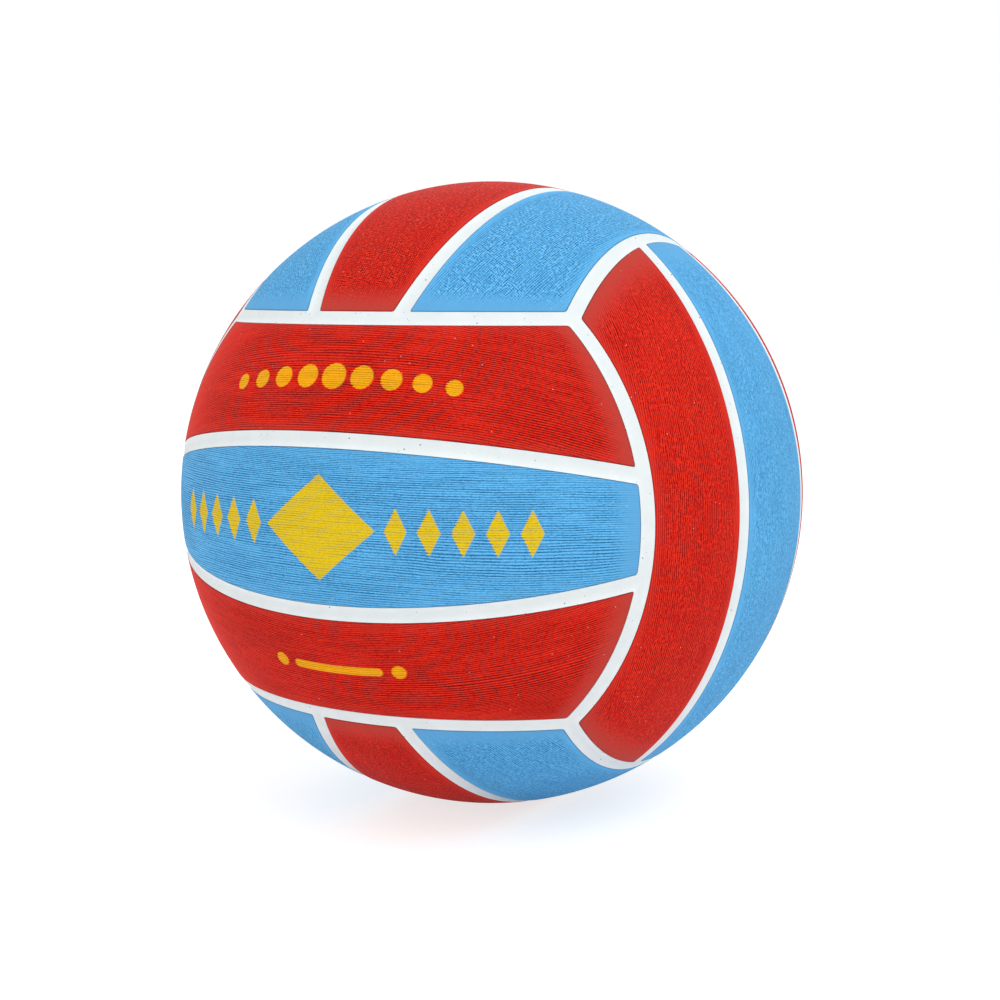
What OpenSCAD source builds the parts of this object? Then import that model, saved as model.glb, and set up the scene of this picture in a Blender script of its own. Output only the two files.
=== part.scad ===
// Water polo ball, men's size: eighteen coloured rubber panels bonded into a white
// carcass whose ribs show between them as channels, over a thread winding and an air
// bladder, with a needle valve in the middle of the back.
// Origin at the ball's centre, +Z up. The front faces -Y and the valve faces +Y.

/* [Ball] */
// Diameter over the coloured panels
ball_d = 220; // [200:1:240]

/* [Cover] */
// Thickness of a coloured panel
panel_t = 0.9; // [0.6:0.1:1.5]
// Width of a middle panel's strip at its widest, along the surface between channel centres
middle_strip_w = 54; // [44:1:62]
// Width of the white channel between two panels
channel_w = 5.1; // [4:0.1:8]
// Depth of the channel's floor below the panels
channel_depth = 0.35; // [0.2:0.05:0.5]
// Clearance between a panel's edge and the side of its pocket
panel_gap = 0.05; // [0.02:0.01:0.1]
// Thickness of the white carcass under the panels
carcass_t = 0.6; // [0.4:0.1:1.2]

/* [Inner layers] */
// Thickness of the thread winding
winding_t = 0.5; // [0.3:0.1:1]
// Thickness of the bladder's wall
bladder_t = 0.7; // [0.5:0.1:1.2]

/* [Valve housing] */
// Diameter of the housing's neck, which shows in the back of the ball
neck_d = 9; // [8:0.5:12]
// Clearance round the neck in each layer that it passes
neck_gap = 0.1; // [0.05:0.05:0.3]
// Length of the housing, from the ball's surface inwards
housing_l = 20; // [17:1:28]
// Diameter of the flange cemented under the bladder
flange_d = 26; // [18:1:36]
// Thickness of the flange
flange_t = 1; // [0.6:0.1:2]
// Thickness of the cement between the flange and the bladder
cement_t = 0.1; // [0.05:0.05:0.3]

/* [Valve core] */
// Diameter of the core's head
head_d = 6.6; // [6:0.2:7.2]
// Thickness of the core's head
head_t = 1.6; // [1:0.2:2.4]
// Depth of the core's face below the ball's surface
head_recess = 0.4; // [0.2:0.1:1]
// Diameter of the core's stem
stem_d = 5; // [4:0.2:5.4]
// Diameter of the ring that locks the core in its housing
barb_d = 6.2; // [5.6:0.2:6.8]
// Length of the locking ring
barb_l = 3; // [2:0.5:4]
// Distance from the core's inner end to its locking ring
barb_up = 2; // [1:0.5:4]
// Clearance between the core and its housing
core_gap = 0.05; // [0.02:0.01:0.1]
// Diameter of the needle passage
needle_d = 2; // [1.8:0.1:2.4]
// Thickness of the closed lips at the passage's inner end
lip_t = 3; // [1:0.5:5]
// Diameter of the dimple that guides the needle in
dimple_d = 3.4; // [2.6:0.2:4]
// Depth of the dimple
dimple_depth = 0.6; // [0.3:0.1:1]

/* [Hidden] */
$fn = 180;
// Colours as in the photograph
RED = [0.76, 0.2, 0.15];
BLUE = [0.38, 0.67, 0.86];
WHITE = [0.93, 0.93, 0.94];
THREAD = [0.9, 0.88, 0.8];
BLACK = [0.12, 0.12, 0.13];
CORE = [0.82, 0.82, 0.84];
// How far a cut runs past what it cuts
overrun = 1;

// Radii of the layers, from the outside in
ball_r = ball_d / 2;
channel_r = ball_r - channel_depth;
carcass_r = ball_r - panel_t;
winding_r = carcass_r - carcass_t;
bladder_r = winding_r - winding_t;
air_r = bladder_r - bladder_t;
flange_r = air_r - cement_t;

// The corners of the six groups lie where a cube's corners meet the ball, so the circle
// round a group's ends stands at this angle from the axis that the group faces along
corner_angle = acos(1 / sqrt(3));
// Tilt of a middle panel's two seams from the middle of its group
seam_tilt = degrees(middle_strip_w / 2);
// Half the channel's width
channel_half = channel_w / 2;

// Places along the valve's axis, from the ball's centre
housing_end = ball_r - housing_l;
face_y = ball_r - head_recess;
head_y = face_y - head_t;
barb_y = housing_end + barb_up;

// Each group of three strips: its side of the ball, and what its strips are called
GROUPS = [
    ["front", "lower", "middle", "upper"],
    ["back", "upper", "middle", "lower"],
    ["right", "front", "middle", "back"],
    ["left", "front", "middle", "back"],
    ["top", "right", "middle", "left"],
    ["bottom", "left", "middle", "right"],
];

// A group's strips are -1, 0 and 1: one on each side of the middle one
function panel_name(group, strip) = str(group[0], "_", group[strip + 2], "_panel");

// Angles that turn a group from facing +Z, with its strips along X, to its own side
function side_angles(side) =
    side == "front" ? [90, 0, 0]
    : side == "back" ? [-90, 0, 0]
    : side == "right" ? [0, 90, 0]
    : side == "left" ? [0, -90, 0]
    : side == "top" ? [0, 0, 90]
    : [180, 0, 90];

// Top and bottom have blue outer strips and a red middle one, the other sides the reverse
function panel_color(side, strip) =
    (side == "top" || side == "bottom") == (strip == 0) ? RED : BLUE;

// Angle at the ball's centre of a length along its surface
function degrees(length) = length / ball_r * 180 / PI;

// Cone from the ball's centre out past its surface, along +Z
module cone(half_angle) {
    reach = ball_r + overrun;
    cylinder(h = reach, r1 = 0, r2 = reach * tan(half_angle));
}

// Everything on the outer side of a middle panel's seam towards -Y or +Y, `hand` -1 or 1,
// from `away` past the seam
module beyond_seam(hand, away) {
    reach = ball_r + overrun;
    mirror([0, hand < 0 ? 1 : 0, 0])
        rotate([-seam_tilt, 0, 0])
            translate([-reach, away, -reach])
                cube([2 * reach, 2 * reach, 2 * reach]);
}

// A panel's space between two radii, `inset` in from the centres of the channels round it,
// for a group that faces +Z
module panel_space(strip, inset, inner_r, outer_r) {
    difference() {
        intersection() {
            sphere(r = outer_r);
            cone(corner_angle - degrees(inset));
            if (strip != 0) beyond_seam(strip, inset);
        }
        sphere(r = inner_r);
        if (strip == 0) {
            for (hand = [-1, 1]) beyond_seam(hand, -inset);
        } else {
            rotate([-90 * strip, 0, 0]) cone(corner_angle + degrees(inset));
        }
    }
}

// Layer of the ball between two radii
module shell(inner_r, outer_r) {
    difference() {
        sphere(r = outer_r);
        sphere(r = inner_r);
    }
}

// Turns what stands along +Z to the valve's axis, +Y
module on_valve_axis() {
    rotate([-90, 0, 0]) children();
}

// Round bar on the valve's axis from one distance to another
module bar(d, from, to) {
    translate([0, 0, from]) cylinder(d = d, h = to - from);
}

// Hole for the valve's neck through the layers
module neck_hole() {
    on_valve_axis() bar(neck_d + 2 * neck_gap, housing_end, ball_r + overrun);
}

// One coloured panel, open for the valve if it is the middle one of the back
module panel(group, strip) {
    side = group[0];
    color(panel_color(side, strip))
        difference() {
            rotate(side_angles(side)) panel_space(strip, channel_half, carcass_r, ball_r);
            if (side == "back" && strip == 0) neck_hole();
        }
}

// White rubber layer: a pocket for each panel, and ribs between them as channels
module channel_carcass() {
    color(WHITE)
        difference() {
            shell(winding_r, channel_r);
            for (group = GROUPS, strip = [-1:1])
                rotate(side_angles(group[0]))
                    panel_space(strip, channel_half - panel_gap, carcass_r, ball_r + overrun);
            neck_hole();
        }
}

// Thread wound over the bladder and set in latex
module thread_winding() {
    color(THREAD)
        difference() {
            shell(bladder_r, winding_r);
            neck_hole();
        }
}

// Air bladder, open for the valve's neck
module bladder() {
    color(BLACK)
        difference() {
            shell(air_r, bladder_r);
            neck_hole();
        }
}

// Space of the core in its housing, or the core itself with no clearance
module core_shape(gap) {
    bar(head_d + 2 * gap, head_y, ball_r + overrun);
    bar(stem_d + 2 * gap, housing_end - overrun, head_y + overrun);
    bar(barb_d + 2 * gap, barb_y - gap, barb_y + barb_l + gap);
}

// Rubber housing: a neck through the layers with a flange cemented under the bladder
module valve_housing() {
    color(BLACK)
        on_valve_axis()
            difference() {
                union() {
                    intersection() {
                        bar(neck_d, housing_end, ball_r + overrun);
                        sphere(r = ball_r);
                    }
                    intersection() {
                        shell(flange_r - flange_t, flange_r);
                        bar(flange_d, 0, ball_r);
                    }
                }
                core_shape(core_gap);
            }
}

// Rubber core that closes the valve: a head, a stem with a locking ring, and a passage
// for the needle that ends in closed lips
module valve_core() {
    color(CORE)
        on_valve_axis()
            difference() {
                intersection() {
                    core_shape(0);
                    bar(neck_d, housing_end, face_y);
                }
                bar(needle_d, housing_end + lip_t, face_y + overrun);
                translate([0, 0, face_y - dimple_depth])
                    cylinder(h = dimple_depth, d1 = needle_d, d2 = dimple_d);
            }
}

for (group = GROUPS, strip = [-1:1])
    panel(group, strip);
channel_carcass();
thread_winding();
bladder();
valve_housing();
valve_core();
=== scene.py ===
"""A water polo ball: eighteen ribbed rubber panels with white channels between them."""

import itertools
import math
from typing import NamedTuple

import bmesh
import bpy
import numpy as np
from mathutils import Matrix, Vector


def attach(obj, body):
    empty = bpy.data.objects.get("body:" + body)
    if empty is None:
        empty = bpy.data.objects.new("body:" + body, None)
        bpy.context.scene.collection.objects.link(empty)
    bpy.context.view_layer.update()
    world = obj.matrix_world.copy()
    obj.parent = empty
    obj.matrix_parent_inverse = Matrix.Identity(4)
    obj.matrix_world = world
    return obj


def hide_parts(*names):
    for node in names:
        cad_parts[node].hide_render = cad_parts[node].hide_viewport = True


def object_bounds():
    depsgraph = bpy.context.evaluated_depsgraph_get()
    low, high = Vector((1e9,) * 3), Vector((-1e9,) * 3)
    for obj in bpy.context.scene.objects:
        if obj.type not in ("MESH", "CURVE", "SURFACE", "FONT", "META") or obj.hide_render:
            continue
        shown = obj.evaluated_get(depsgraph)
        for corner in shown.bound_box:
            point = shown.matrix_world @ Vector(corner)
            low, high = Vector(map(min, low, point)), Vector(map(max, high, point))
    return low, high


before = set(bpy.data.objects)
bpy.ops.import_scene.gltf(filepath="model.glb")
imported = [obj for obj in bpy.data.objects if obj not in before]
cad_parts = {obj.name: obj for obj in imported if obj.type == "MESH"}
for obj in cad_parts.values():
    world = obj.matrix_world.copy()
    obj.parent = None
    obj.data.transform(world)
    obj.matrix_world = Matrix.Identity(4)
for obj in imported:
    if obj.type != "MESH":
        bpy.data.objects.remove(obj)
cad_box = [list(corner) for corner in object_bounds()]

MM = 0.001

# Sizes of the ball, as in the solids, from the outside in
BALL_R = round(cad_box[1][0], 6)
BED_R = BALL_R - 0.9 * MM
CARCASS_INNER_R = BED_R - 0.6 * MM
HALF_CHANNEL = 2.55 * MM
SEAM_TILT = 27 * MM / BALL_R
CORNER_ANGLE = math.acos(1 / math.sqrt(3))
NECK_HOLE_R = 4.6 * MM

# Each group's side of the ball, the turn from facing +Z with its strips along X, and what
# its strips -1, 0 and 1 are called
STRIPS = (-1, 0, 1)
GROUPS = {
    "front": ([[1, 0, 0], [0, 0, -1], [0, 1, 0]], ["lower", "middle", "upper"]),
    "back": ([[1, 0, 0], [0, 0, 1], [0, -1, 0]], ["upper", "middle", "lower"]),
    "right": ([[0, 0, 1], [0, 1, 0], [-1, 0, 0]], ["front", "middle", "back"]),
    "left": ([[0, 0, -1], [0, 1, 0], [1, 0, 0]], ["front", "middle", "back"]),
    "top": ([[0, -1, 0], [1, 0, 0], [0, 0, 1]], ["right", "middle", "left"]),
    "bottom": ([[0, 1, 0], [1, 0, 0], [0, 0, -1]], ["left", "middle", "right"]),
}


# Camera and light

def add_camera():
    """The camera of the photograph, placed by its azimuth, elevation and roll."""
    azimuth, elevation, roll = (math.radians(a) for a in (28.919, 6.726, 0.096))
    camera = bpy.data.objects.new("camera", bpy.data.cameras.new("camera"))
    camera.data.lens = 63.693
    camera.data.sensor_width = 36
    camera.matrix_world = (
        Matrix.Translation((0.30784, -0.55139, 0.07174))
        @ Matrix.Rotation(azimuth, 4, "Z")
        @ Matrix.Rotation(math.pi / 2 - elevation, 4, "X")
        @ Matrix.Rotation(roll, 4, "Z")
    )
    bpy.context.scene.collection.objects.link(camera)
    bpy.context.scene.camera = camera


def add_lamp(name, azimuth, elevation, distance, size, watts, color=(1, 1, 1)):
    """A square soft lamp that faces the ball's centre, at an azimuth from -Y."""
    lamp = bpy.data.objects.new(name, bpy.data.lights.new(name, "AREA"))
    lamp.data.energy = watts
    lamp.data.size = size
    lamp.data.color = color
    lamp.matrix_world = (
        Matrix.Rotation(math.radians(azimuth), 4, "Z")
        @ Matrix.Rotation(math.pi / 2 - math.radians(elevation), 4, "X")
        @ Matrix.Translation((0, 0, distance))
    )
    bpy.context.scene.collection.objects.link(lamp)


# Shaders

class Value:
    """A socket's value: sums on it add Math nodes to its owner."""

    def __init__(self, nodes, socket):
        self.nodes, self.socket = nodes, socket

    def math(self, operation, *others):
        values = dict(enumerate([self, *others]))
        return self.nodes.add("ShaderNodeMath", {"operation": operation}, values)

    def __add__(self, other):
        return self.math("ADD", other)

    def __sub__(self, other):
        return self.math("SUBTRACT", other)

    def __mul__(self, other):
        return self.math("MULTIPLY", other)

    def __truediv__(self, other):
        return self.math("DIVIDE", other)

    def __abs__(self):
        return self.math("ABSOLUTE")

    def __rsub__(self, other):
        return self.nodes.add("ShaderNodeMath", {"operation": "SUBTRACT"}, {0: other, 1: self})

    __radd__, __rmul__ = __add__, __mul__

    def ramp(self, start, end, low=0, high=1):
        """Eased from low, before start, to high, past end."""
        return self.nodes.add(
            "ShaderNodeMapRange", {"interpolation_type": "SMOOTHSTEP"},
            {"Value": self, "From Min": start, "From Max": end, "To Min": low, "To Max": high})


class Nodes:
    """The nodes of a new material or world."""

    def __init__(self, owner):
        self.owner = owner
        owner.use_nodes = True
        self.tree = owner.node_tree
        self.tree.nodes.clear()

    def add(self, kind, settings=None, sockets=None, output=0):
        """A node of one kind, with its settings and then its sockets' values or links."""
        node = self.tree.nodes.new(kind)
        for name, setting in (settings or {}).items():
            setattr(node, name, setting)
        for name, value in (sockets or {}).items():
            if isinstance(value, Value):
                self.tree.links.new(value.socket, node.inputs[name])
            else:
                node.inputs[name].default_value = value
        return Value(self, node.outputs[output]) if node.outputs else None

    def attribute(self, name, output="Fac"):
        return self.add("ShaderNodeAttribute", {"attribute_name": name}, {}, output)

    def on_object(self, scale):
        """The place on the object, in metres, times a scale."""
        place = self.add("ShaderNodeTexCoord", {}, {}, "Object")
        return self.add(
            "ShaderNodeVectorMath", {"operation": "SCALE"}, {0: place, "Scale": scale})

    def seen(self):
        """1 to the camera and in reflections, 0 to the light that falls on the ball."""
        camera, glossy = (
            self.add("ShaderNodeLightPath", {}, {}, ray)
            for ray in ("Is Camera Ray", "Is Glossy Ray"))
        return camera.math("MAXIMUM", glossy)

    def vector(self, x, y, z=0):
        return self.add("ShaderNodeCombineXYZ", {}, {"X": x, "Y": y, "Z": z})

    def noise(self, vector, detail):
        """Noise from 0 to 1, about one feature to a unit."""
        return self.add(
            "ShaderNodeTexNoise", {}, {"Vector": vector, "Scale": 1, "Detail": detail})

    def mix(self, amount, first, second):
        """Two colours mixed."""
        return self.add(
            "ShaderNodeMix", {"data_type": "RGBA"}, {"Factor": amount, 6: first, 7: second}, 2)

    def specks(self, vector, size, share, seed):
        """1 in small round specks of a size, in a share of the cells of a unit lattice."""
        place = self.add("ShaderNodeVectorMath", {"operation": "ADD"},
                         {0: vector, 1: (seed, 0, 0)})
        voronoi = {"Vector": place, "Scale": 1}
        distance = self.add("ShaderNodeTexVoronoi", {}, voronoi, "Distance")
        color = self.add("ShaderNodeTexVoronoi", {}, voronoi, "Color")
        chosen = self.add("ShaderNodeSeparateColor", {}, {0: color})
        return distance.ramp(size, 0.4 * size) * chosen.math("LESS_THAN", share)

    def surface(self, color, roughness, height, distance, specular=0.5):
        """Ends the material in a Principled surface with the height as bump."""
        normal = self.add("ShaderNodeBump", {}, {"Height": height, "Distance": distance})
        shader = self.add(
            "ShaderNodeBsdfPrincipled", {},
            {"Base Color": color, "Roughness": roughness, "Normal": normal,
             "Specular IOR Level": specular})
        self.add("ShaderNodeOutputMaterial", {}, {"Surface": shader})
        return self.owner


# The marks on the front, 1 inside and 0 outside, with u and v in mm

MARK_BLUR = 0.12


def lozenge(x, y, half_length, half_height, blur):
    """1 where |x| / half length + |y| / half height is under 1."""
    return (abs(x) / half_length + abs(y) / half_height).ramp(1 + blur, 1 - blur)


def past_disc(x, y, radius):
    """Distance past the edge of a disc."""
    return (x.math("POWER", 2) + y.math("POWER", 2)).math("SQRT") - radius


def lozenges(u, v):
    """A large lozenge with a row of five small ones on each side."""
    first, pitch = 26.5, 10.4
    place = ((abs(u) - (first - pitch / 2)) / pitch).math("FLOOR")
    place = place.math("MAXIMUM", 0).math("MINIMUM", 4)
    small = lozenge(abs(u) - (place * pitch + first), v, 3.6, 7.2, 0.03)
    return small.math("MAXIMUM", lozenge(u, v, 20, 16.5, 0.01))


def disc_row(u, v):
    """A row of nine discs, smaller towards the ends."""
    pitch = 10
    place = (u / pitch).math("ROUND").math("MAXIMUM", -4).math("MINIMUM", 4)
    disc = past_disc(u - place * pitch, v, 4.3 - abs(place) * 0.42)
    return disc.ramp(MARK_BLUR, -MARK_BLUR)


def bar_and_dots(u, v):
    """A thin bar with round ends and a dot past each end."""
    bar = past_disc((abs(u) - 15).math("MAXIMUM", 0), v, 1.5)
    dot = past_disc(abs(u) - 22, v, 2.4)
    return bar.math("MINIMUM", dot).ramp(MARK_BLUR, -MARK_BLUR)


# Materials

# How much the dry rubber of the cover reflects, where 0.5 is usual for plastic
RUBBER_SHEEN = 0.12
# The weave's pitch, in mm, and the sharpness of the grooves
WEAVE_PITCH = 0.75
GROOVE_POWER = 1.3
# The shaders' heights run from 0 in a groove to 1, and worn rubber lies at this height
WORN_HEIGHT = 0.8


class Palette(NamedTuple):
    """A panel's colours: the rubber's own, a paler one for painted highlight on the ribs' tips,
    a darker one for painted shade in the grooves, and a duller one for wear and painted sheen.
    """
    color: tuple
    tip: tuple
    groove: tuple
    worn: tuple


# Each palette's tip colour is painted highlight and its groove colour painted shade; its worn
# colour is wear and painted sheen.
RED = Palette((0.69, 0.008, 0.003, 1), (0.78, 0.042, 0.008, 1), (0.07, 0, 0, 1),
              (0.33, 0.058, 0.046, 1))
BLUE = Palette((0.098, 0.425, 0.78, 1), (0.17, 0.52, 0.86, 1), (0.008, 0.1, 0.26, 1),
               (0.095, 0.3, 0.55, 1))
# The ink is thin, so it looks more orange on red and more green on blue
INK_ON_RED = (0.86, 0.4, 0.003, 1)
INK_ON_BLUE = (0.76, 0.56, 0.001, 1)


def groove_lines(turns):
    """1 in the middle of a groove, at each whole turn, and 0 half way between two."""
    return ((turns * (2 * math.pi)).math("COSINE") * 0.5 + 0.5).math("POWER", GROOVE_POWER)


def plain_ribs(n, u, v, seed, depth):
    """Height of the plain ribs, which are the mesh's own ribs with breaks in them."""
    broken = n.noise(n.vector(u / 1.2, v / 0.42, seed + 7), 1)
    grooves = depth * groove_lines(n.attribute("phase")) * broken.ramp(0.34, 0.56, 1.1, 0.55)
    return 0.9 - grooves - broken.ramp(0.5, 0.7) * 0.3


def crossed_weave(n, u, v, seed):
    """Height of the weave: wandering, broken grooves along the strip and aslant across it."""
    cross = n.attribute("cross")
    threads = []
    for along, across, strength in (
            (u, v, 1.28 - cross * 0.38), (v, u - v * 0.25, cross * 0.9)):
        course = seed + 11 * len(threads)
        wander = n.noise(n.vector(along / 6, across / 4, course + 11), 1) * 2.4
        breaks = n.noise(n.vector(along / 1.2, across / 0.8, course + 15), 1)
        grooves = groove_lines(across / WEAVE_PITCH + wander)
        threads.append(grooves * breaks.ramp(0.36, 0.6, 0.2, 0.95) * strength)
    return 1 - threads[0].math("MAXIMUM", threads[1])


def print_on(n, base, ink, mark, height, shade, blot):
    """The base colour with a mark printed on it: ragged at the ribs, darker in the grooves,
    which is painted shade, and warmer in blots."""
    ragged = (height - 0.7) * 0.8
    cover = mark(ragged) * (1 - (1 - shade).math("POWER", 2) * 0.2)
    # Painted shade: in the grooves the ink darkens to `deep`.
    deep = (*(0.62 * part for part in ink[:3]), 1)
    warm = (ink[0] * 1.02, ink[1] * 0.8, ink[2], 1)
    return n.mix(cover, base, n.mix(shade, deep, n.mix(blot * 0.6, ink, warm)))


def panel_rubber(name, palette, ink=None, mark=None):
    """Ribbed rubber: fine ribs along the strip, a crossed weave where the mesh asks for it,
    painted shade in the grooves and painted highlight on the tips, a painted shadow line along
    the panel's edge, worn smoother and duller towards the panel's ends, where the duller colour
    is partly painted sheen, with dust and a printed mark."""
    n = Nodes(bpy.data.materials.new(name))
    uv = n.add("ShaderNodeUVMap", {"uv_map": "strip"})
    u, v = (n.add("ShaderNodeSeparateXYZ", {}, {0: uv}, axis) / MM for axis in (0, 1))
    seed = n.attribute("seed")
    finish = n.attribute("finish", "Color")
    depth, inside, weave = (
        n.add("ShaderNodeSeparateColor", {}, {0: finish}, part) for part in range(3))

    patches = n.noise(n.vector(u / 9, v / 7, seed + 17), 2).ramp(0.34, 0.56)
    woven = weave * (0.5 + patches * 0.5)
    grain = n.noise(n.vector(u / 0.5, v / 0.4, seed + 23), 1) - 0.5
    fine = (plain_ribs(n, u, v, seed, depth) * (1 - woven)
            + crossed_weave(n, u, v, seed) * woven + grain * 0.22)
    height = WORN_HEIGHT + (fine - WORN_HEIGHT) * (0.16 + inside * 0.84)

    # Painted shade and highlight: following the height, the colour darkens to the groove colour
    # in the grooves and pales to the tip colour on the ribs' tips.
    shade = height.ramp(0.05, 0.95)
    base = n.mix(shade, palette.groove, palette.color)
    base = n.mix(height.ramp(0.62, 1) * 0.75, base, palette.tip)
    blotches = n.noise(n.vector(u / 14, v / 10, seed + 19), 3)
    # Duller towards the strips' ends: partly wear, partly painted sheen, with random blotches.
    haze = n.attribute("wear_and_sheen") * 0.62 + blotches.ramp(0.45, 0.8) * 0.06
    base = n.mix(haze, base, palette.worn)
    # Painted shadow: the panel's last half millimetre darkens towards the groove colour, as a
    # shadow line at the foot of its edge.
    base = n.mix((1 - n.attribute("finish", "Alpha")) * 0.5, base, palette.groove)
    if mark:
        blot = n.noise(n.vector(u / 1.2, v / 0.6, seed + 29), 1).ramp(0.4, 0.62)
        base = print_on(n, base, ink, lambda shift: mark(u + shift, v), height, shade, blot)
    place = n.vector(u / 4, v / 4, seed)
    base = n.mix(n.specks(place, 0.055, 0.8, 5) * 0.5, base, (0.8, 0.74, 0.72, 1))
    base = n.mix(n.specks(place, 0.045, 0.4, 9) * 0.7, base, (0.02, 0.02, 0.03, 1))
    return n.surface(base, 0.7 + (1 - shade) * 0.1, height, 0.06 * MM, RUBBER_SHEEN)


def white_rubber():
    """Smooth white rubber with a faint mottle, painted shade grey in the middle of the
    channels' hollows, and dark specks of two sizes."""
    n = Nodes(bpy.data.materials.new("white_rubber"))
    mottle = n.noise(n.on_object(160), 3)
    grain = n.noise(n.on_object(900), 2)
    color = n.mix(mottle.ramp(0.35, 0.7), (0.7, 0.755, 0.765, 1), (0.745, 0.79, 0.795, 1))
    # Painted shade: the middle of each channel is greyed, as the shade that falls in its
    # hollow.
    hollow = n.attribute("hollow") * (0.12 + mottle * 0.18)
    color = n.mix(hollow, color, (0.58, 0.62, 0.66, 1))
    small = n.specks(n.on_object(430), 0.13, 0.5, 4)
    large = n.specks(n.on_object(230), 0.08, 0.65, 2)
    color = n.mix(small * 0.55, color, (0.2, 0.2, 0.26, 1))
    color = n.mix(large * 0.9, color, (0.06, 0.06, 0.09, 1))
    height = mottle * 0.6 + grain * 0.4
    return n.surface(color, 0.55 + mottle * 0.12, height, 0.04 * MM, RUBBER_SHEEN)


def plain_rubber(name, color, dusty, roughness):
    """Moulded rubber with a fine grain and a trace of talc."""
    n = Nodes(bpy.data.materials.new(name))
    talc = n.noise(n.on_object(260), 4)
    grain = n.noise(n.on_object(2600), 2)
    base = n.mix(talc.ramp(0.45, 0.8) * 0.5, color, dusty)
    return n.surface(base, talc * 0.2 + roughness, grain * 0.7 + talc * 0.3, 0.03 * MM)


def wound_thread():
    """Thread wound in crossing courses and set in latex."""
    n = Nodes(bpy.data.materials.new("wound_thread"))
    place = n.add("ShaderNodeTexCoord", {}, {}, "Object")
    courses = []
    for turn in ((0.5, 0.3, 0), (1.4, 0, 0.9), (0, 2.3, 0.4)):
        turned = n.add("ShaderNodeMapping", {}, {"Vector": place, "Rotation": turn})
        courses.append(n.add("ShaderNodeTexWave", {}, {
            "Vector": turned, "Scale": 320, "Distortion": 2.5, "Detail": 2}, "Fac"))
    height = courses[0].math("MAXIMUM", courses[1]).math("MAXIMUM", courses[2])
    color = n.mix(height, (0.5, 0.45, 0.34, 1), (0.82, 0.79, 0.68, 1))
    return n.surface(color, 0.9 - height * 0.2, height, 0.2 * MM)


# The sphere's patches

def rise(x):
    """3x^2 - 2x^3, held at 0 and 1 outside 0 to 1."""
    x = np.clip(x, 0, 1)
    return x * x * (3 - 2 * x)


def long_edges(strip, along, inset):
    """Angles across the strips of a panel's two long edges, at the angle `along` from the
    group's middle. Next to the middle strip an edge is the seam's plane, tilted by the seam's
    tilt and moved by the inset: tilt + asin(inset / (R cos along)). Away from it, it is the
    circle round the next group: asin(cos(corner + inset / R) / cos along)."""
    hand = 1 if strip else -1
    seam = SEAM_TILT + np.arcsin(hand * inset / (BALL_R * np.cos(along)))
    if strip == 0:
        return -seam, seam
    rim = np.arcsin(np.cos(CORNER_ANGLE + inset / BALL_R) / np.cos(along))
    return (seam, rim) if strip > 0 else (-rim, -seam)


def end_angle(across, inset):
    """Angle along a group to its end: acos(cos(corner - inset / R) / cos across)."""
    return np.arccos(np.cos(CORNER_ANGLE - inset / BALL_R) / np.cos(across))


# The steps that find a grid's angles, and how far each goes towards what it finds
LAYOUT_STEPS = 26
LAYOUT_PACE = 0.6


def lay_out(strip, row_inset, row_share, column_inset, column_share, shift=0):
    """Angles (along, across) of a grid. A row lies at a share of the way between the two long
    edges at its inset. A column lies at a share, -1 to 1, of the angle to the group's end at
    its inset. Each angle needs the other, so they are found together, by repeated steps. Then
    `shift` moves the points along."""
    along = column_share * 0.5 + 0 * row_share
    for _ in range(LAYOUT_STEPS):
        low, high = long_edges(strip, along, row_inset)
        across = low + row_share * (high - low)
        aim = column_share * end_angle(across, column_inset)
        along = along + LAYOUT_PACE * (aim - along)
    along = along + shift
    low, high = long_edges(strip, along, row_inset)
    return along, low + row_share * (high - low)


def unit(along, across):
    """Unit vectors of a group that faces +Z: (sin a, sin b cos a, cos b cos a)."""
    return np.stack([np.sin(along), np.sin(across) * np.cos(along),
                     np.cos(across) * np.cos(along)], -1)


def grid_lines(border, inner, low):
    """Insets and shares of a grid's lines, from `low` to 1: the border's insets, `inner` equal
    steps between, and the border's insets again."""
    steps = np.linspace(low, 1, inner + 1)[1:-1]
    inset = np.concatenate([border, np.full(inner - 1, border[-1]), border[::-1]])
    share = np.concatenate([np.full(len(border), low), steps, np.ones(len(border))])
    return inset, share


def round_corners(row_inset, column_inset, edge, radius):
    """Rounds the corners of the ring at inset `edge` to a radius. In the corner's square, ring
    m of the square, max(|x|, |y|) = m, becomes ring m of the disc, m (x sqrt(1 - y^2 / 2),
    y sqrt(1 - x^2 / 2)) with x and y over m, and outside the edge it eases back to a square."""
    row_inset, column_inset = np.broadcast_arrays(row_inset, column_inset)
    reach = edge + radius
    x = np.maximum((reach - row_inset) / radius, 0)
    y = np.maximum((reach - column_inset) / radius, 0)
    ring = np.maximum(x, y)
    p, q = x / np.maximum(ring, 1e-9), y / np.maximum(ring, 1e-9)
    last = reach / radius
    ease = np.clip((last - ring) / (last - 1), 0, 1)
    there = ease * (x > 0) * (y > 0)
    x = x + there * (ring * p * np.sqrt(1 - q * q / 2) - x)
    y = y + there * (ring * q * np.sqrt(1 - p * p / 2) - y)
    return (np.where(row_inset < reach, reach - radius * x, row_inset),
            np.where(column_inset < reach, reach - radius * y, column_inset))


def middle_block(shape, half_rows, half_columns):
    """The rows and the columns between which the block in the middle of a grid lies."""
    row, column = shape[0] // 2, shape[1] // 2
    return [row - half_rows, row + half_rows], [column - half_columns, column + half_columns]


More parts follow.
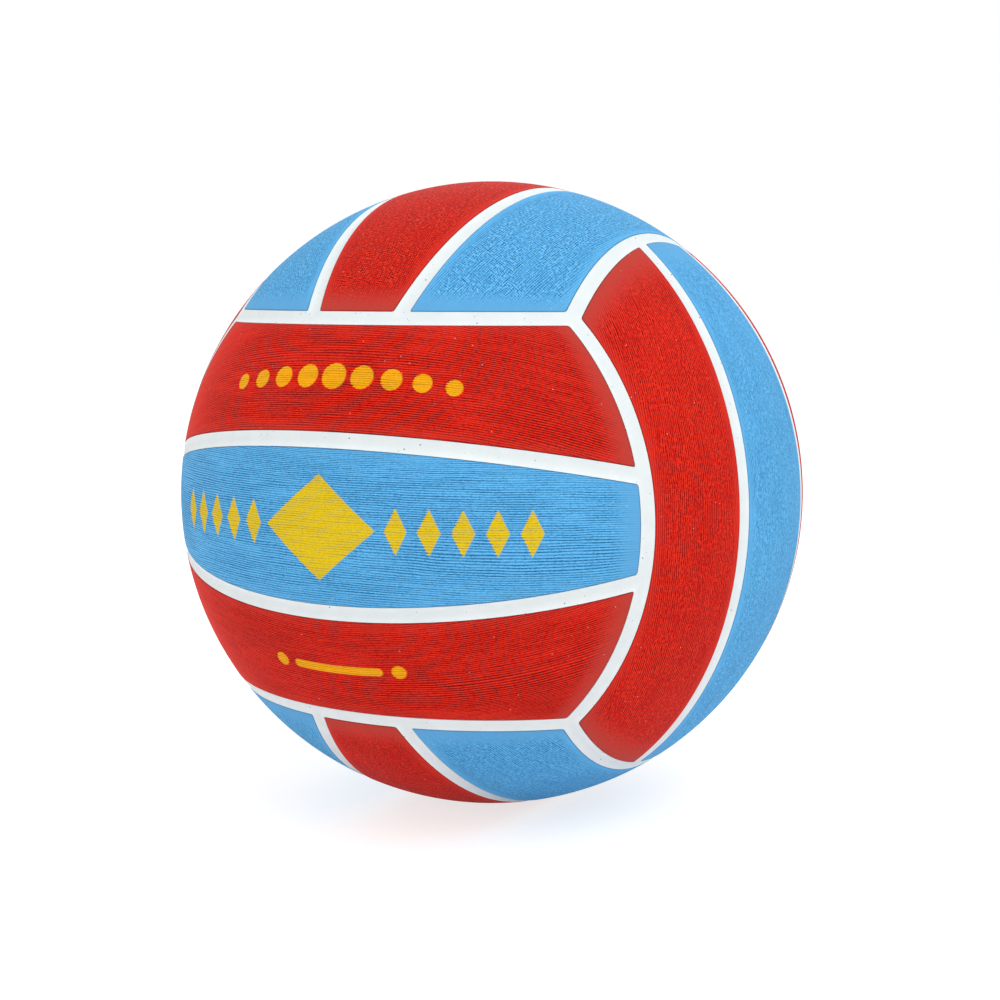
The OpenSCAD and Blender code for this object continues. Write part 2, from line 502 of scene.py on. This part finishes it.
def open_hole(points, rows, columns, radius):
    """Draws the block of a grid between two rows and two columns out to a round hole about the
    patch's middle: its border, where max(|x|, |y|) over the block's half sizes is 1, goes to
    the circle, and the ring at 3 stays."""
    half = np.array([
        points[sum(rows) // 2, columns[1], 0], points[rows[1], sum(columns) // 2, 1]])
    flat = points[..., :2] / half
    ring = np.abs(flat).max(-1, keepdims=True)
    circle = flat / np.maximum(np.linalg.norm(flat, axis=-1, keepdims=True), 1e-9)
    circle = circle * (radius / BALL_R) * (1 + (ring - 1) * 0.7)
    ease = rise((3 - ring) / 2)
    near = points[..., :2] * (1 - ease) + circle * ease
    return np.concatenate([near, np.sqrt(1 - (near ** 2).sum(-1, keepdims=True))], -1)


def skin_faces(shape, first, hole):
    """The numbers of a grid's points, from `first`, and its quads, without the hole's block."""
    index = first + np.arange(shape[0] * shape[1]).reshape(shape)
    quads = np.stack([index[:-1, :-1], index[:-1, 1:], index[1:, 1:], index[1:, :-1]], -1)
    keep = np.ones(quads.shape[:2], bool)
    if hole:
        (a, b), (c, d) = hole
        keep[a:b, c:d] = False
    return index, quads[keep].tolist()


def block_border(index, rows, columns):
    """The indices round a block of a grid, anticlockwise from outside the ball."""
    (a, b), (c, d) = rows, columns
    return np.concatenate([index[a, c:d], index[a:b, d], index[b, d:c:-1], index[b:a:-1, c]])


def wall_faces(upper, lower):
    """Quads between two loops of points, one over the other."""
    return np.stack([lower, np.roll(lower, -1), np.roll(upper, -1), upper], -1).tolist()


def hole_walls(index, back_index, hole):
    """Quads round a hole, between the grid and its back."""
    return wall_faces(block_border(index, *hole)[::-1], block_border(back_index, *hole)[::-1])


def coarse_lines(count, step, also):
    """About every `step`th of a grid's lines, with its first and last and those in `also`."""
    stops = sorted({0, count - 1, *also})
    lines = [0]
    for start, end in zip(stops, stops[1:]):
        parts = max(1, round((end - start) / step))
        lines += [start + round((end - start) * k / parts) for k in range(1, parts + 1)]
    return lines


def back_faces(shape, first, step, hole):
    """A coarse back for a grid: the points it keeps of the grid, their numbers laid out as the
    grid with -1 for the rest, and its faces, which take in every point of the grid's border
    and of the hole's. Each block is a fan of triangles from a corner whose two sides have no
    point between their ends, so that no triangle is flat."""
    rows, columns = shape
    keep = np.zeros(shape, bool)
    keep[[0, -1], :] = keep[:, [0, -1]] = True
    row_lines = coarse_lines(rows, step[0], hole[0] if hole else ())
    column_lines = coarse_lines(columns, step[1], hole[1] if hole else ())
    keep[np.ix_(row_lines, column_lines)] = True
    if hole:
        (a, b), (c, d) = hole
        keep[a + 1:b, c + 1:d] = False
        keep[[a, b], c:d + 1] = True
        keep[a:b + 1, [c, d]] = True
    index = np.full(shape, -1)
    index[keep] = first + np.arange(keep.sum())
    faces = []
    for a, b in zip(row_lines, row_lines[1:]):
        for c, d in zip(column_lines, column_lines[1:]):
            if hole and hole[0][0] <= a < hole[0][1] and hole[1][0] <= c < hole[1][1]:
                continue
            ring = block_border(index, (a, b), (c, d))
            ring = ring[ring >= 0][::-1]
            row = b if (index[a, c:d + 1] >= 0).sum() > 2 else a
            column = d if (index[a:b + 1, c] >= 0).sum() > 2 else c
            ring = np.roll(ring, -int(np.argmax(ring == index[row, column])))
            faces += [[ring[0], *pair] for pair in zip(ring[1:], ring[2:])]
    return keep, index, faces


def drop_loose(points, faces, *others):
    """Leaves out the points that no face uses, such as those in a hole."""
    used = np.zeros(len(points), bool)
    used[np.concatenate([np.asarray(face) for face in faces])] = True
    number = np.cumsum(used) - 1
    faces = [number[face].tolist() for face in faces]
    return (points[used], faces, *(other[used] for other in others))


def new_piece(name, points, faces, material, uv=None, attributes=None, weld=False):
    """A piece of the ball, from its points and faces, with smooth shading across soft edges."""
    mesh = bpy.data.meshes.new(name)
    mesh.from_pydata(points.tolist(), [], faces)
    if uv is not None:
        corner = np.empty(len(mesh.loops), np.int32)
        mesh.loops.foreach_get("vertex_index", corner)
        layer = mesh.uv_layers.new(name="strip")
        layer.data.foreach_set("uv", uv[corner].astype(np.float32).ravel())
    for label, values in (attributes or {}).items():
        kind, member = ("FLOAT_COLOR", "color") if values.ndim > 1 else ("FLOAT", "value")
        attribute = mesh.attributes.new(label, kind, "POINT")
        attribute.data.foreach_set(member, values.astype(np.float32).ravel())
    if weld:
        work = bmesh.new()
        work.from_mesh(mesh)
        bmesh.ops.remove_doubles(work, verts=work.verts, dist=0.002 * MM)
        work.to_mesh(mesh)
        work.free()
    mesh.shade_smooth()
    mesh.set_sharp_from_angle(angle=math.radians(38))
    mesh.materials.append(material)
    piece = bpy.data.objects.new(name, mesh)
    bpy.context.scene.collection.objects.link(piece)
    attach(piece, "root")
    return piece


# The panels

class Finish(NamedTuple):
    """A group's finish: the share of its surface that has the weave in place of the plain ribs,
    the depth of the weave's lines across the strip beside those along it, how far in from the
    strips' ends they are worn smooth, in mm, and how far in from the outer strips' first ends,
    which on the front lie to the left. Smoother ribs there also make that side lighter, as the
    painted shade in their grooves fades."""
    weave: float
    cross: float
    worn: float
    worn_first: float


FINISH = {
    "front": Finish(0.15, 0.4, 11, 60), "back": Finish(0.15, 0.4, 11, 60),
    "right": Finish(0.7, 0.45, 16, 16), "left": Finish(0.7, 0.45, 16, 16),
    "top": Finish(1, 1, 11, 11), "bottom": Finish(0.7, 1, 11, 11),
}

EDGE_R = 0.35 * MM
PANEL_CORNER_R = 0.65 * MM
RIB_HEIGHT = 0.09 * MM
RIB_PITCH = 0.72 * MM
# Rings of a panel's border, as distances from its edge: a round edge, then the corner's square
EDGE_TURN = np.radians([0, 30, 60, 90])
PANEL_RINGS = np.concatenate([EDGE_R * (1 - np.cos(EDGE_TURN)), [0.5 * MM, PANEL_CORNER_R]])
# Steps of a panel's grid inside its border, about how many of them a step of its back takes,
# and half the size of the block that opens for the valve, all as rows and columns
PANEL_ROWS = {-1: 232, 0: 276, 1: 232}
PANEL_COLUMNS = 112
PANEL_BACK_STEP = (12, 8)
PANEL_HOLE_BLOCK = (22, 3)

LATTICE = 512


def lattice_noise(x, y, seed):
    """Smooth noise from -1 to 1: random values on a unit lattice, joined by 3t^2 - 2t^3."""
    table = np.random.default_rng(seed).uniform(-1, 1, (LATTICE, LATTICE))
    i, j = np.floor(x).astype(int), np.floor(y).astype(int)
    s, t = rise(x - i), rise(y - j)
    (i, k), (j, m) = ((line % LATTICE, (line + 1) % LATTICE) for line in (i, j))
    low = table[i, j] * (1 - s) + table[k, j] * s
    high = table[i, m] * (1 - s) + table[k, m] * s
    return low * (1 - t) + high * t


def rib_lines(u, v, seed):
    """Where fine ribs along u lie: the phase p = (v + w(u, v)) / pitch, which wanders, and each
    groove's own depth d(u, p), from 0 to 1."""
    u, v, pitch = u / MM, v / MM, RIB_PITCH / MM
    wander = (1.8 * lattice_noise(u / 70, v / 14 + 5, seed)
              + 0.17 * lattice_noise(u / 8, v / 1.7 + 8, seed + 1))
    phase = (v + wander) / pitch
    depth = (0.84 + 0.34 * lattice_noise(u / 9, phase + 9, seed + 2)
             + 0.2 * lattice_noise(u / 16, v / 9 + 3, seed + 3))
    return phase, np.clip(depth, 0, 1)


def strip_lengths(strip, along, across, points):
    """Lengths along and across a strip's own middle, and the distances to the nearest of its
    long edges and to the nearest of its ends."""
    middle = strip * (SEAM_TILT + math.pi / 2 - CORNER_ANGLE) / 2
    y = points[..., 1] * math.cos(middle) - points[..., 2] * math.sin(middle)
    z = points[..., 1] * math.sin(middle) + points[..., 2] * math.cos(middle)
    low, high = long_edges(strip, along, HALF_CHANNEL)
    to_long = np.minimum(across - low, high - across) * np.cos(along)
    to_end = end_angle(across, HALF_CHANNEL) - np.abs(along)
    return (BALL_R * length for length in (
        np.arctan2(points[..., 0], z), np.arcsin(y), to_long, to_end))


def wear_and_tear(finish, strip, along, to_long, to_end):
    """How sharp the ribs are, from 0 where they are worn smooth, how dull the colour is, from
    wear and painted sheen, and how much of the surface is weave, each from 0 to 1."""
    faded = finish.worn + 1
    wear_and_sheen = 1 - rise(to_end / (faded * MM)) * (0.75 + 0.25 * rise(to_long / (5 * MM)))
    if finish.weave > 0.5:
        sharp = rise(to_end / (faded * MM)) * rise(to_long / (5 * MM) + 0.15)
    else:
        worn = np.where((along < 0) & (strip != 0), finish.worn_first, finish.worn)
        sharp = rise(to_end / (worn * MM)) * (0.65 + 0.35 * rise(to_long / (6 * MM)))
    weave = finish.weave * rise(np.minimum(1.6 * to_long, to_end) / (9 * MM))
    return sharp, wear_and_sheen, weave


def make_panel(side, strip, seed, material):
    """A rubber panel: a round-edged, ribbed skin, a wall down to its bed and a coarse back.
    The ribs fade into the round edge."""
    turn, names = GROUPS[side]
    border = HALF_CHANNEL + PANEL_RINGS
    row_inset, row_share = grid_lines(border, PANEL_ROWS[strip], 0)
    column_inset, column_share = grid_lines(border, PANEL_COLUMNS, -1)
    row_inset, column_inset = row_inset[:, None], column_inset[None]
    from_edge = np.minimum(row_inset, column_inset) - HALF_CHANNEL
    row_inset, column_inset = round_corners(
        row_inset, column_inset, HALF_CHANNEL, PANEL_CORNER_R)
    along, across = lay_out(
        strip, row_inset, row_share[:, None], column_inset, column_share[None])
    points = unit(along, across)
    shape = from_edge.shape
    hole = None
    if side == "back" and strip == 0:
        hole = middle_block(shape, *PANEL_HOLE_BLOCK)
        points = open_hole(points, *hole, NECK_HOLE_R)

    u, v, to_long, to_end = strip_lengths(strip, along, across, points)
    phase, groove = rib_lines(u, v, 10 * seed)
    sharp, wear_and_sheen, weave = wear_and_tear(FINISH[side], strip, along, to_long, to_end)
    ribs = 1 - groove * (0.5 + 0.5 * np.cos(2 * np.pi * phase)) ** GROOVE_POWER
    rib_height = RIB_HEIGHT * (0.2 + 0.8 * sharp) * (1 - 0.7 * weave)
    edge_drop = np.interp(
        from_edge, EDGE_R * (1 - np.cos(EDGE_TURN)), EDGE_R * (1 - np.sin(EDGE_TURN)))
    radius = BALL_R - edge_drop + rib_height * (ribs - 0.6) * rise(
        (from_edge - EDGE_R) / (0.8 * MM))

    index, faces = skin_faces(shape, 0, hole)
    keep, back_index, back = back_faces(shape, points[..., 0].size, PANEL_BACK_STEP, hole)
    whole = ([0, shape[0] - 1], [0, shape[1] - 1])
    faces += back + wall_faces(block_border(index, *whole), block_border(back_index, *whole))
    skin = (points * radius[..., None]).reshape(-1, 3)
    placed = np.concatenate([skin, points[keep] * BED_R]) @ np.array(turn).T
    # The fourth value falls to 0 at the panel's edge, where the shader paints a shadow line
    # with it.
    finish = np.stack([groove, sharp, weave, rise(from_edge / (0.5 * MM))], -1)
    fields = [np.concatenate([field.reshape(-1, *field.shape[2:]), field[keep]])
              for field in (np.stack([u, v], -1), finish, phase, wear_and_sheen)]
    if hole:
        faces += hole_walls(index, back_index, hole)
        placed, faces, *fields = drop_loose(placed, faces, *fields)
    uv, finish, phase, wear_and_sheen = fields
    count = len(placed)
    strip_name = f"{side}_{names[strip + 1]}"
    piece = new_piece(
        f"{strip_name}_rubber", placed, faces, material, uv,
        {"finish": finish, "phase": phase, "wear_and_sheen": wear_and_sheen, "seed": np.full(count, seed),
         "cross": np.full(count, FINISH[side].cross)})
    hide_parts(f"{strip_name}_panel")


def add_panels():
    """The eighteen panels. The middle strips are blue and the outer ones red, but the other
    way round on top and below. The front's three are printed."""
    plain = {
        "red_panel": panel_rubber("red_rubber", RED),
        "blue_panel": panel_rubber("blue_rubber", BLUE),
    }
    printed = {
        ("front", -1): panel_rubber("red_rubber_bar", RED, INK_ON_RED, bar_and_dots),
        ("front", 0): panel_rubber("blue_rubber_lozenges", BLUE, INK_ON_BLUE, lozenges),
        ("front", 1): panel_rubber("red_rubber_discs", RED, INK_ON_RED, disc_row),
    }
    for seed, (side, strip) in enumerate(itertools.product(GROUPS, STRIPS), 1):
        slot = "red_panel" if (side in ("top", "bottom")) == (strip == 0) else "blue_panel"
        make_panel(side, strip, seed, printed.get((side, strip), plain[slot]))


# The carcass

POCKET_TOP = 2.47 * MM
POCKET_FOOT = 2.51 * MM
CHANNEL_RINGS = np.array([0, 0.6, 1.1, 1.5, 1.9, 2.2]) * MM
CHANNEL_FLOOR_R = BALL_R - 0.85 * MM
CHANNEL_EDGE_R = BALL_R - 0.12 * MM
# Rings of a cell's border, as distances from the middle of its channel
CELL_RINGS = np.array([*CHANNEL_RINGS, POCKET_TOP, POCKET_FOOT, POCKET_FOOT + PANEL_CORNER_R])
# Steps of a cell's grid inside its border, about how many of them a step of its back takes,
# and half the size of the block that opens for the valve, all as rows and columns
CELL_ROWS = {-1: 22, 0: 12, 1: 22}
CELL_BACK_STEP = (6, 6)
CELL_HOLE_BLOCK = (1, 3)


def cell_columns(row_lines):
    """The columns of each cell: their angles along at the group's rim, their insets and their
    shares. They meet the rows of the cell's outer neighbours, so they come from those rows."""
    meets = []
    for strip in STRIPS:
        inset, share = row_lines[strip]
        points = unit(*lay_out(strip, inset, share, np.zeros(1), np.ones(1)))
        first = 0 if strip < 0 else 1
        meets.append(np.arctan2(points[:, 1], points[:, 0])[first:])
    meets = np.arcsin(math.sin(CORNER_ANGLE) * np.sin(np.concatenate(meets)))
    edge = len(CELL_RINGS)
    inset = np.full(len(meets), CELL_RINGS[-1])
    inset[:edge], inset[-edge:] = CELL_RINGS, CELL_RINGS[::-1]
    rim = np.arcsin(np.cos(CORNER_ANGLE) / np.cos(meets))
    share = meets / end_angle(rim, CELL_RINGS[-1])
    share[:edge], share[-edge:] = -1, 1
    return meets, inset[None], share[None]


def cell_points(strip, lines, columns):
    """A cell's points on the unit sphere, and their distances from the nearest channel's
    middle. The points on the group's rim are shifted to where they meet the neighbour's."""
    inset, share = (line[:, None] for line in lines)
    meets, column_inset, column_share = columns
    shift = 0
    if strip:
        outer = -1 if strip > 0 else 0
        along, _ = lay_out(strip, inset[[outer]], share[[outer]], column_inset, column_share)
        near = (share == (1 if strip > 0 else 0)) * (1 - inset / CELL_RINGS[-1])
        shift = near * (meets - along)
    round_inset, round_column_inset = round_corners(
        inset, column_inset, POCKET_FOOT, PANEL_CORNER_R)
    points = unit(*lay_out(
        strip, round_inset, share, round_column_inset, column_share, shift))
    return points, np.minimum(inset, column_inset)


def add_carcass():
    """The white carcass: eighteen cells, each from the middles of the channels round it, with
    a hollow channel floor, R + rise * (inset / edge)^2, and a pocket for the panel, joined
    along those middles, over a plain inner face."""
    row_lines = {
        strip: grid_lines(CELL_RINGS, count, 0) for strip, count in CELL_ROWS.items()}
    columns = cell_columns(row_lines)
    all_points, all_faces, hollows, total = [], [], [], 0
    for side, strip in itertools.product(GROUPS, STRIPS):
        points, from_edge = cell_points(strip, row_lines[strip], columns)
        channel_r = CHANNEL_FLOOR_R + (CHANNEL_EDGE_R - CHANNEL_FLOOR_R) * (
            from_edge / POCKET_TOP) ** 2
        radius = np.where(from_edge > (POCKET_TOP + POCKET_FOOT) / 2, BED_R, channel_r)
        shape = from_edge.shape
        hole = None
        if side == "back" and strip == 0:
            hole = middle_block(shape, *CELL_HOLE_BLOCK)
            points = open_hole(points, *hole, NECK_HOLE_R)
        index, faces = skin_faces(shape, total, hole)
        keep, back_index, back = back_faces(shape, total + index.size, CELL_BACK_STEP, hole)
        all_faces += faces + back + (hole_walls(index, back_index, hole) if hole else [])
        skin = (points * radius[..., None]).reshape(-1, 3)
        placed = np.concatenate([skin, points[keep] * CARCASS_INNER_R])
        all_points.append(placed @ np.array(GROUPS[side][0]).T)
        # The hollow value is 1 in the middle of a channel, where the white rubber paints shade.
        hollows += [rise(1 - from_edge / POCKET_TOP).ravel(), np.zeros(keep.sum())]
        total += len(placed)
    points, faces, hollow = drop_loose(
        np.concatenate(all_points), all_faces, np.concatenate(hollows))
    piece = new_piece("white_carcass", points, faces, white_rubber(),
                      attributes={"hollow": hollow}, weld=True)
    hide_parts("channel_carcass")


# The inner layers and the valve

def dress_inner_layers():
    """Gives the winding and the bladder, which keep their solids' meshes, their materials."""
    materials = {
        "thread_winding": wound_thread(),
        "bladder": plain_rubber(
            "bladder_rubber", (0.015, 0.015, 0.016, 1), (0.12, 0.12, 0.12, 1), 0.5),
    }
    for name, material in materials.items():
        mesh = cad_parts[name].data
        mesh.materials.clear()
        mesh.materials.append(material)


def round_off(corners):
    """A profile's corners (radius, distance, cut), rounded: with A and B at the cut from the
    corner P along its two sides, the arc is (1 - t)^2 A + 2 t (1 - t) P + t^2 B."""
    corners = np.array(corners, float)
    place, cut = corners[:, :2], corners[:, 2:]
    before, after = np.roll(place, 1, 0) - place, np.roll(place, -1, 0) - place
    first = place + cut * before / np.linalg.norm(before, axis=1, keepdims=True)
    last = place + cut * after / np.linalg.norm(after, axis=1, keepdims=True)
    t = np.linspace(0, 1, 5)[:, None, None]
    arcs = (1 - t) ** 2 * first + 2 * t * (1 - t) * place + t ** 2 * last
    return arcs.transpose(1, 0, 2).reshape(-1, 2)


def turned_piece(name, node, profile, pinch, material):
    """A closed profile of (radius r, distance y), in mm, turned about the valve's axis:
    (r cos a, y, p r sin a), where the pinch p flattens a slit."""
    angle = np.linspace(0, 2 * math.pi, 96, endpoint=False)
    r, y = profile[:, :1], profile[:, 1:]
    points = np.stack(
        [r * np.cos(angle), y + 0 * angle, pinch[:, None] * r * np.sin(angle)], -1)
    index = np.arange(points[..., 0].size).reshape(points.shape[:2])
    beside, above = np.roll(index, -1, 1), np.roll(index, -1, 0)
    faces = np.stack([index, beside, np.roll(above, -1, 1), above], -1).reshape(-1, 4)
    piece = new_piece(
        name, points.reshape(-1, 3) * MM, faces.tolist(), material, weld=True)
    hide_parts(node)


# (radius, distance from the ball's centre, cut of the corner), in mm. With the radius to the
# right and the distance up they run clockwise, so that the faces look outwards.
HOUSING = [
    (3.35, 108.0, 0), (3.35, 109.92, 0.35), (4.5, 109.92, 0.5), (4.5, 107.11, 0),
    (13, 106.41, 0.3), (13, 105.4, 0.3), (4.5, 106.1, 0), (4.5, 90, 0.3), (2.55, 90, 0.2),
    (2.55, 91.95, 0), (3.15, 91.95, 0), (3.15, 95.05, 0), (2.55, 95.05, 0), (2.55, 108.0, 0)]
CORE = [
    (0, 93, 0), (0.9, 93, 0.2), (0.9, 107.6, 0.3), (1, 108.9, 0.3), (1.8, 109.68, 0.35),
    (3.3, 109.6, 0.4), (3.3, 108, 0.3), (2.5, 108, 0.1), (2.5, 95, 0.1), (3.1, 95, 0.3),
    (3.1, 92.3, 0.2), (2.5, 92, 0.1), (2.5, 90, 0.4), (0, 90, 0)]
# The passage's widest radius and its inner end, and how flat it is at two distances: below its
# dimple it closes on a slit across the ribs
PASSAGE_R, PASSAGE_END = 1.1, 92.9
SLIT = ([107.6, 108.9], [0.12, 1])


def add_valve():
    """The valve's boot and the plug in it."""
    housing = round_off(HOUSING)
    boot = plain_rubber("valve_rubber", (0.02, 0.02, 0.022, 1), (0.07, 0.07, 0.07, 1), 0.42)
    turned_piece(
        "valve_boot", "valve_housing", housing, np.ones(len(housing)), boot)
    core = round_off(CORE)
    in_passage = (core[:, 0] < PASSAGE_R) & (core[:, 1] > PASSAGE_END)
    pinch = np.where(in_passage, np.interp(core[:, 1], *SLIT), 1)
    plug = plain_rubber("core_rubber", (0.62, 0.62, 0.64, 1), (0.72, 0.72, 0.72, 1), 0.42)
    turned_piece("valve_plug", "valve_core", core, pinch, plug)


# Floor and surround

WHITE = (1, 1, 1, 1)


def add_floor():
    """A plain white floor that the camera sees as white with the ball's soft shadow."""
    n = Nodes(bpy.data.materials.new("floor"))
    bright = n.add("ShaderNodeBsdfDiffuse", {}, {"Color": (0.98, 0.98, 0.98, 1)})
    lit = n.add("ShaderNodeEmission", {}, {"Color": WHITE, "Strength": 0.09})
    to_ball = n.add("ShaderNodeAddShader", {}, {0: bright, 1: lit})
    glow = n.add("ShaderNodeEmission", {}, {"Color": WHITE, "Strength": 0.72})
    soft = n.add("ShaderNodeBsdfDiffuse", {}, {"Color": (0.46, 0.46, 0.46, 1)})
    to_camera = n.add("ShaderNodeAddShader", {}, {0: glow, 1: soft})
    mixed = n.add("ShaderNodeMixShader", {}, {0: n.seen(), 1: to_ball, 2: to_camera})
    n.add("ShaderNodeOutputMaterial", {}, {"Surface": mixed})
    mesh = bpy.data.meshes.new("floor")
    reach = 6
    mesh.from_pydata([(-reach, -reach, -BALL_R), (reach, -reach, -BALL_R),
                      (reach, reach, -BALL_R), (-reach, reach, -BALL_R)], [], [(0, 1, 2, 3)])
    mesh.materials.append(n.owner)
    floor = bpy.data.objects.new("floor", mesh)
    bpy.context.scene.collection.objects.link(floor)


def add_world():
    """An even white surround, brighter to the camera than to the ball."""
    n = Nodes(bpy.data.worlds.new("world"))
    to_ball = 0.78
    strength = n.seen() * (1 - to_ball) + to_ball
    background = n.add("ShaderNodeBackground", {}, {"Color": WHITE, "Strength": strength})
    n.add("ShaderNodeOutputWorld", {}, {"Surface": background})
    bpy.context.scene.world = n.owner


# The scene

add_camera()
add_lamp("key", azimuth=56, elevation=60, distance=1.9, size=1.6, watts=18.5)
add_lamp("fill", azimuth=-50, elevation=4, distance=2.2, size=1.4, watts=2.5)
add_lamp("back", azimuth=205, elevation=38, distance=2.2, size=1.6, watts=6)
add_lamp("warm", azimuth=-95, elevation=2, distance=2.2, size=1.4, watts=4,
         color=(1, 0.5, 0.15))
add_panels()
add_carcass()
dress_inner_layers()
add_valve()
add_floor()
add_world()
bpy.context.scene.view_settings.view_transform = "Standard"
